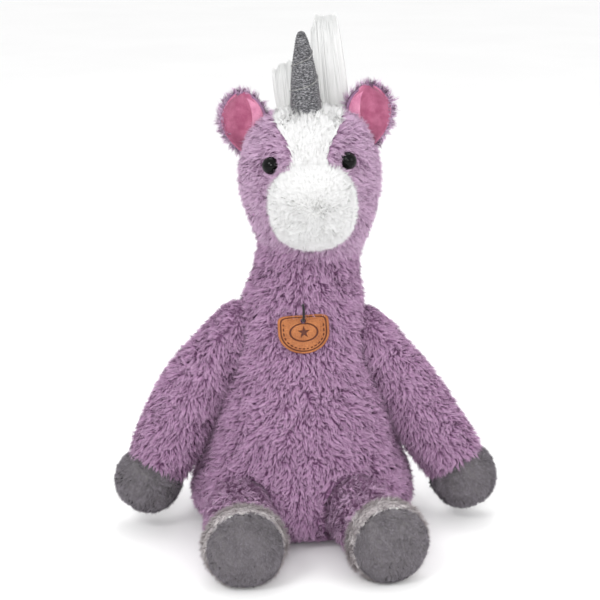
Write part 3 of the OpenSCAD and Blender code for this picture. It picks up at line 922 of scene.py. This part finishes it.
def ear_grid(s, margin, lift, curled, cols=46, rows=44):
    """The ear's front, in columns from the outer edge to the one by the head, where a curled ear folds."""
    v = np.linspace(0.012, 0.985, rows)[:, None]
    wide = ear_half(v, margin)
    curl_r = 2.2 * np.sin(math.pi * v**0.8) ** 0.5
    flap = 5.2 * np.sin(math.pi * np.clip(v * 0.92 + 0.06, 0, 1)) ** 0.8
    turn_at = wide * (0.78 if curled else 1.0)
    along = np.linspace(-1, 1, cols)[None, :]
    length = np.where(along > 0, turn_at + (math.pi * curl_r + flap) * curled, wide)
    run = along * length
    over = np.clip((run - turn_at) / curl_r, 0, math.pi)
    past = np.maximum(run - turn_at - math.pi * curl_r, 0)
    x = np.minimum(run, turn_at) + curl_r * np.sin(over) - past
    z = -(EAR_HALF_H - margin) + 2 * (EAR_HALF_H - margin) * v + 0 * x
    y = np.sqrt(EAR_CUP_R**2 - np.minimum(run, turn_at) ** 2 - z**2) - EAR_CUP_R
    y = y - curl_r * (1 - np.cos(over)) * 1.1 - past * 0.12 - lift * np.cos(over)
    # hollow in the middle, deepest low down, and small wrinkles at the bottom
    hollow = np.exp(-(((x + 1.5) / (0.55 * wide + 0.5)) ** 2)) * (over < 0.3)
    y = y + 4.6 * hollow * np.clip(1.15 - v, 0, 1) ** 0.7
    y = y + 0.4 * np.sin(0.9 * x + 9 * v) * np.clip(0.55 - v, 0, 1) * (over < 0.3)
    y = y - 2.2 * np.clip(-x / wide, 0, 1) ** 3
    grid = np.stack([-SIGN[s] * x, y, z], -1)
    flapness = np.clip(over / math.pi, 0, 1) + 0 * x
    return (grid, flapness) if s == RIGHT else (grid[:, ::-1], flapness[:, ::-1])


def velour(name):
    """Short pink velour: lighter where the lining folds over and darker where it lies flat in the hollow, which
    is painted light and painted shade, with a fine uneven nap.
    """
    m, tree, shader = material(name, Roughness=0.75, Sheen_Weight=0.5, Sheen_Tint=(1.0, 0.75, 0.86, 1),
                               Specular_IOR_Level=0.2)
    fine = noise_node(tree, 2600.0, 2.0)
    # painted light and shade: the folded lining is made lighter and the flat lining in the hollow darker
    curl = ramp(tree, uv_parts(tree, "ear_curl")["Y"], [(0.05, (0.74, 0.56, 0.63)), (0.6, (0.98, 0.94, 0.96))])
    rose = ramp(tree, noise_node(tree, 160.0), [(0.3, (0.50, 0.16, 0.28)), (0.7, (0.70, 0.30, 0.44))])
    grain = ramp(tree, fine, [(0.3, (0.8, 0.76, 0.78)), (0.7, (1, 1, 1))])
    tree.links.new(mixed(tree, mixed(tree, rose, curl), grain), shader.inputs["Base Color"])
    bumped(tree, shader, fine, 0.4, 0.0003)
    return m


pink_velour = velour("pink_velour")


def ear_keep(s):
    def keep(p, n):
        local = moved(EAR[s].inverted(), p)
        facing = turned(EAR[s].inverted(), n)
        v = np.clip((local[:, 2] + EAR_HALF_H) / (2 * EAR_HALF_H), 0.01, 0.99)
        rim = SIGN[s] * local[:, 0] > ear_half(v, 0) * 0.86
        behind = (facing[:, 1] > -0.1) & (local[:, 1] > -6)
        return behind | rim | (v > 0.95)
    return keep


def ear_flow(s):
    def flow(p, n):
        local = moved(EAR[s].inverted(), p)
        return turned(EAR[s], local * [1, 0, 1] + [0, 0, 6])
    return flow


for s in (LEFT, RIGHT):
    back = sheet_solid(f"ear_back_cloth_{SIDES[s]}", ear_grid(s, 0, 0, False)[0], 1.4, lilac_cloth, EAR[s])
    grid, flapness = ear_grid(s, 0.8, 1.2, True)
    # how far the lining is folded over, which the velour turns into painted light and shade
    curl_uv = np.stack([0 * flapness + 0.5, flapness * 0.98 + 0.01], -1).reshape(-1, 2)
    lining = sheet_solid(f"ear_lining_velour_{SIDES[s]}", grid, 1.0, pink_velour, EAR[s], curl_uv, "ear_curl")
    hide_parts(f"ear_back_{SIDES[s]}")
    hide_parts(f"ear_lining_{SIDES[s]}")
    fur = pile(f"ear_pile_{SIDES[s]}", back, lilac_pile, ear_keep(s), density=6.0, length=4.4,
               width=0.23, lean=0.85, flow=ear_flow(s), gather=0.3, swirl=0.8, soft=0.12, seed=91 + s)
    for piece in (back, lining, fur):
        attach(piece, f"ear_{SIDES[s]}")


# ---- horn
HORN_ROWS = curve([(0, 1.0), (0.2, 0.94), (0.48, 0.8), (0.73, 0.58), (0.91, 0.36), (0.985, 0.2),
                   (1.0, 0.05)], 6)


def knit_material():
    """Marled grey knit: dark, mid and silvery yarn in short runs along each row."""
    m, tree, shader = material("metallic_knit", Roughness=0.55, Metallic=0.15, Sheen_Weight=0.2)
    runs = noise_node(tree, 640.0, 3.0, 0.6, (1, 1, 3.4))
    specks = noise_node(tree, 1700.0, 2.0, 0.6, (1, 1, 2.2))
    base = ramp(tree, runs, [(0.40, (0.007, 0.007, 0.010)), (0.5, (0.050, 0.049, 0.057)),
                             (0.62, (0.26, 0.258, 0.27))])
    silver = ramp(tree, specks, [(0.57, (0, 0, 0)), (0.70, (0.26, 0.26, 0.27))])
    tree.links.new(mixed(tree, base, silver, "ADD"), shader.inputs["Base Color"])
    bumped(tree, shader, runs, 0.5, 0.0004)
    return m


def horn():
    """The knit cone: rows of stitches round it, in real relief."""
    segs, rows = 110, 96
    heights = np.linspace(0, 1, rows)
    radius = HORN_R * np.interp(heights, HORN_ROWS[:, 0], HORN_ROWS[:, 1])
    a = around(segs)
    verts = []
    for i, (h, r) in enumerate(zip(heights, radius)):
        stitch = 0.17 * np.cos(a * 34 + math.pi * (i // 3 % 2)) + 0.2 * math.cos(i * 2 * math.pi / 3)
        rr = np.maximum(r + stitch * min(1, r / 4), 0.05)
        verts.append(np.stack([rr * np.cos(a), rr * np.sin(a), np.full(segs, h * HORN_LEN)], 1))
    verts = np.concatenate(verts)
    verts += drift(verts, 7.0, 23) * 0.25
    obj = new_object("horn_knit", moved(HORN, verts), ring_faces(rows, segs), knit_material())
    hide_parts("horn_cover")
    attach(obj, "horn")


horn()
grey_yarn = pile_material("grey_yarn", *YARN, 0.6, 0.1, 0.6)


def outward(angles):
    return np.stack([np.cos(angles), np.sin(angles), 0 * angles], 1)


def horn_fray():
    """Loose ends of yarn round the foot of the horn."""
    rng = np.random.default_rng(101)
    count = 420
    out = outward(rng.uniform(0, 2 * math.pi, count))
    roots = out * (HORN_R + 0.1) + [0, 0, 1] * rng.uniform(0.8, 2.6, (count, 1))
    tips = out * (HORN_R + rng.uniform(0.4, 1.6, (count, 1))) - [0, 0, 1] * rng.uniform(0.8, 3.4, (count, 1))
    obj = strands("horn_fray", moved(HORN, roots), moved(HORN, tips), 0.3 * rng.normal(size=(count, 3)), 0.34,
                  turned(HORN, out), grey_yarn, 102, 5, 0.25)
    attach(obj, "horn")


horn_fray()


# ---- mane and tail
SKULL_R = np.array([r for z, r in CROWN_ROWS] + [0])
SKULL_Z = np.array([z for z, r in CROWN_ROWS] + [39.5])


def crown_height(x, y):
    """Height of the crown at a place on it, in the head's frame."""
    return np.interp(np.hypot(x, y), SKULL_R[::-1], SKULL_Z[::-1])


def mane_tufts():
    """Hair that stands up behind the horn: a short tuft at the left and a tall one at the right."""
    rng = np.random.default_rng(111)
    count = 10000
    x = rng.uniform(-17, 27, count)
    y = rng.uniform(5.5, 15, count)
    roots = np.stack([x, y, crown_height(x, y) - 1.5], 1)
    top_x = np.interp(x, [-17, -5, 6, 27], [-18.8, -4.7, 6.0, 22.2]) + rng.normal(0, 0.35, count)
    lock = np.array([noise.noise(Vector((a * 0.45, b * 0.12, 3.1))) for a, b in zip(x, y)])
    top = np.interp(top_x, [-18.8, -12, -4.7, 4.8, 5.8, 9, 22.2], [65, 68, 70, 71, 88, 97, 96])
    top = top + lock * 3 - np.abs(rng.normal(0, 0.8, count))
    top = top - (rng.random(count) < 0.12) * rng.uniform(0, 9, count)
    tips = np.stack([top_x, 10 + (y - 10) * 0.75 + rng.normal(0, 0.5, count), top], 1)
    bow = np.stack([rng.normal(0, 0.4, count), rng.normal(0.5, 0.5, count), 0 * x], 1)
    facing = unit(np.stack([rng.normal(0, 0.05, count), np.full(count, -1.0), 0 * x], 1))
    obj = strands("mane_tufts", moved(HEAD, roots), moved(HEAD, tips), turned(HEAD, bow), 0.66,
                  turned(HEAD, facing), hair_white, 112, 6, 0.12)
    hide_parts("mane")
    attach(obj, "head")


def mane_crest():
    """Hair sewn down the back of the head. It lies over the seam and falls towards the neck."""
    rng = np.random.default_rng(121)
    count, steps = 5200, 8
    # the path runs down the back of the head, from the top of the crown
    zs = np.concatenate([SKULL_Z[::-1], JAW_ROWS[::-1, 0]])
    rs = np.concatenate([SKULL_R[::-1], JAW_ROWS[::-1, 1]])
    arc = np.concatenate([[0], np.cumsum(np.hypot(np.diff(zs), np.diff(rs)))])
    start = rng.uniform(10, 72, count)
    length = rng.uniform(16, 27, count)
    x = rng.normal(0, 3.6, count).clip(-8, 8)
    t = np.linspace(0, 1, steps)[None, :]
    at = np.minimum(start[:, None] + length[:, None] * t, 112)
    lift = -1 + (rng.uniform(4.5, 9.5, count))[:, None] * np.sin(math.pi * np.minimum(t * 0.62, 1))
    z = np.interp(at, arc, zs)
    r = np.interp(at, arc, rs)
    slope_z, slope_r = np.gradient(z, axis=1), np.gradient(r, axis=1)
    n_y, n_z = -slope_z, slope_r
    size = np.hypot(n_y, n_z) + 1e-6
    xs = x[:, None] * (1 + 0.45 * t) + rng.normal(0, 1.0, (count, 1)) * t
    y = np.sqrt(np.maximum(r**2 - xs**2, 4)) + lift * n_y / size
    paths = np.stack([xs, y, z + lift * n_z / size], 2).reshape(-1, 3)
    paths = moved(HEAD, paths).reshape(count, steps, 3)
    normals = unit(np.stack([x * 0.08, np.ones(count), 0.3 * np.ones(count)], 1))
    widths = 0.6 * np.linspace(1, 0.55, steps - 1)[None, :] * rng.uniform(0.7, 1.2, (count, 1))
    obj = ribbons("mane_crest", paths, widths, turned(HEAD, normals), rng.random(count), hair_white, 1.6,
                  rng)
    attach(obj, "head")


def tail():
    """A short tuft of the mane's hair, low on the back."""
    rng = np.random.default_rng(131)
    count = 1500
    out = outward(rng.uniform(0, 2 * math.pi, count)) * np.sqrt(rng.random(count))[:, None]
    roots = out * 3.6 + [0, 0, 1] * rng.uniform(3, 6, (count, 1))
    tips = out * 7.5 + [0, 0, 1] * (33 - 5 * np.abs(rng.normal(size=(count, 1))).clip(0, 2)) + rng.normal(
        0, 0.8, (count, 3))
    obj = strands("tail_strands", moved(TAIL, roots), moved(TAIL, tips), turned(TAIL, out * 1.6), 0.6,
                  turned(TAIL, unit(out + [0.01, 0, 0])), hair_white, 132, 8, 0.4)
    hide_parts("tail_hair")
    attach(obj, "tail")


mane_tufts()
mane_crest()
tail()


# ---- leather tag
TAG_HALF_W, TAG_TOP, TAG_BOTTOM, TAG_T = 15.75, 3.6, -20.0, 1.6
TAG_MIDDLE = (0.0, -7.0)
TAG_HOLE_R = 1.7
PRESSED = 0.42
STAR_OUT, STAR_IN = 4.1, 1.7


def tag_outline(a):
    """How far the tag's edge is from its middle, in the direction a."""
    c, q = np.cos(a), np.sin(a)
    lower = 1 / np.sqrt((c / TAG_HALF_W) ** 2 + (q / (TAG_MIDDLE[1] - TAG_BOTTOM)) ** 2)
    upper = 1 / (np.abs(c / TAG_HALF_W) ** 7 + np.abs(q / (TAG_TOP - TAG_MIDDLE[1])) ** 7) ** (1 / 7)
    return np.where(q < 0, lower, upper)


def leather_material():
    """Vegetable-tanned leather. V says how deep the surface is pressed in, and pressed lines are burnt dark."""
    m, tree, shader = material("tan_leather", Roughness=0.5, Specular_IOR_Level=0.35)
    grain = noise_node(tree, 1500.0, 4.0)
    base = ramp(tree, noise_node(tree, 110.0), [(0.3, (0.285, 0.088, 0.023)), (0.7, (0.40, 0.142, 0.042))])
    pores = ramp(tree, grain, [(0.36, (0.68, 0.62, 0.58)), (0.56, (1, 1, 1))])
    burnt = ramp(tree, uv_parts(tree, "tag_depth")["Y"], [(0.12, (1, 1, 1)), (0.6, (0.24, 0.13, 0.09))])
    tree.links.new(mixed(tree, mixed(tree, base, pores), burnt), shader.inputs["Base Color"])
    bumped(tree, shader, grain, 0.35, 0.0003)
    return m


def line(value, at, half_width):
    """A pressed line: 1 on it, 0 away from it."""
    return np.clip(1.5 - np.abs(value - at) / half_width, 0, 1)


def tag_pressing(scale, a, x, z):
    """How deep the tag is pressed: a border, a row of stitch marks, an oval panel and a plain star in it."""
    depth = line(scale, 0.885, 0.022)
    dashes = (np.sin(a * 26) > -0.2) & (z < -1.5)
    depth = np.maximum(depth, line(scale, 0.78, 0.022) * dashes)
    oval = np.sqrt((x / 8.4) ** 2 + ((z - TAG_MIDDLE[1]) / 5.4) ** 2)
    depth = np.maximum(depth, line(oval, 1.0, 0.06))
    fifth = math.pi / 5
    from_point = np.abs((np.arctan2(z - TAG_MIDDLE[1], x) - math.pi / 2 + fifth) % (2 * fifth) - fifth)
    star = STAR_OUT * STAR_IN * math.sin(fifth)
    star = star / (STAR_OUT * np.sin(from_point) + STAR_IN * np.sin(fifth - from_point))
    return np.maximum(depth, np.clip((star - np.hypot(x, z - TAG_MIDDLE[1])) / 0.4, 0, 1) * 0.8)


def leather_tag():
    """The tag from rings round its middle: a pressed front, a rounded edge, a plain back and a hole."""
    segs = 200
    a = around(segs)
    edge = tag_outline(a)
    scales = np.concatenate([np.linspace(0.02, 0.955, 62), [0.975, 0.99, 1.0, 1.0, 0.985, 0.95, 0.5, 0.02]])
    drops = np.concatenate([np.zeros(62), [0.06, 0.2, PRESSED, TAG_T - PRESSED, TAG_T - 0.12] + [TAG_T] * 3])
    verts, depths = [], []
    for k, drop in zip(scales, drops):
        x, z = TAG_MIDDLE[0] + edge * k * np.cos(a), TAG_MIDDLE[1] + edge * k * np.sin(a)
        pressed = tag_pressing(k, a, x, z) if drop == 0 else np.zeros(segs)
        bend = 0.012 * (z - TAG_MIDDLE[1]) ** 2 * 0.6 - 0.004 * x**2
        verts.append(np.stack([x, -TAG_T / 2 + drop + pressed * PRESSED - bend * 0.6, z], 1))
        depths.append(pressed)
    verts, depths = np.concatenate(verts), np.concatenate(depths)
    faces = [f[::-1] for f in ring_faces(len(scales), segs)]
    uv = np.stack([np.full(len(depths), 0.5), depths * 0.98 + 0.01], 1)
    obj = new_object("tag_leather", verts, faces, leather_material(), uv, "tag_depth")
    hole_verts, hole_faces = lathe([(-4, TAG_HOLE_R), (4, TAG_HOLE_R)], place((0, 0, 0), 90), 28)
    cutter = new_object("hole_cutter", hole_verts, hole_faces)
    cut = obj.modifiers.new("hole", "BOOLEAN")
    cut.operation = "DIFFERENCE"
    cut.object = cutter
    cut.solver = "EXACT"
    bake_modifiers(obj)
    bpy.data.objects.remove(cutter)
    set_points(obj.data, moved(TAG, points_of(obj.data)))
    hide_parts("leather_tag")
    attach(obj, "tag")


leather_tag()


# ---- care label
def care_label():
    """A blank ribbon sewn low on the back, drooping at its free end."""
    rows, cols = 20, 16
    v, u = np.meshgrid(np.linspace(0, 1, rows), np.linspace(0, 1, cols), indexing="ij")
    droop = u**2
    x = 66.0 + 14.5 * u - 1.2 * droop
    y = 0.5 * np.sin(u * 4) + 1.2 * droop * np.sin(v * 5)
    z = 14.5 + 21 * v - 2.0 * droop
    grid = np.stack([x, y, z], -1)
    m = cloth_material("label_ribbon", (0.70, 0.70, 0.69), (0.86, 0.86, 0.85), 2400.0, 0.6, 0.3)
    obj = sheet_solid("care_label_ribbon", grid, 0.5, m, place((0, 0, 0), 0, 0, 42))
    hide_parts("care_label")
    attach(obj, "torso")


care_label()


# ---- the pieces kept from the CAD
def glossy(name, dark, light, rough):
    """Smooth plastic or yarn with a slight change of tone."""
    m, tree, shader = material(name, Roughness=rough, Specular_IOR_Level=0.15)
    tone = ramp(tree, noise_node(tree, 500.0), [(0.3, dark), (0.7, light)])
    tree.links.new(tone, shader.inputs["Base Color"])
    return m


KEPT = [
    (glossy("eye_black", (0.0008,) * 3, (0.0016,) * 3, 0.06), ["eye_left", "eye_right"]),
    (glossy("washer_white", (0.62, 0.62, 0.60), (0.72, 0.72, 0.70), 0.4),
     ["eye_washer_left", "eye_washer_right"]),
    (cloth_material("cord_black", (0.010, 0.009, 0.010), (0.022, 0.020, 0.021), 3200.0), ["tag_cord"]),
    (glossy("thread_silver", (0.12,) * 3, (0.33, 0.325, 0.32), 0.5), ["horn_thread"]),
    (cloth_material("pouch_weave", (0.62, 0.60, 0.56), (0.74, 0.72, 0.68), 1500.0), ["bean_pouch"]),
    (glossy("bean_plastic", (0.58, 0.56, 0.50), (0.74, 0.72, 0.66), 0.35), ["seat_beans"]),
    (purple_cloth, ["tail_binding"]),
    (fibre_cloth, [name for name in NODES if "stuffing" in name]),
]
for look, names in KEPT:
    for name in names:
        NODES[name].data.materials.clear()
        NODES[name].data.materials.append(look)

for form in [torso_skin, head_skin] + arm_skins + leg_skins:
    bpy.data.objects.remove(form)
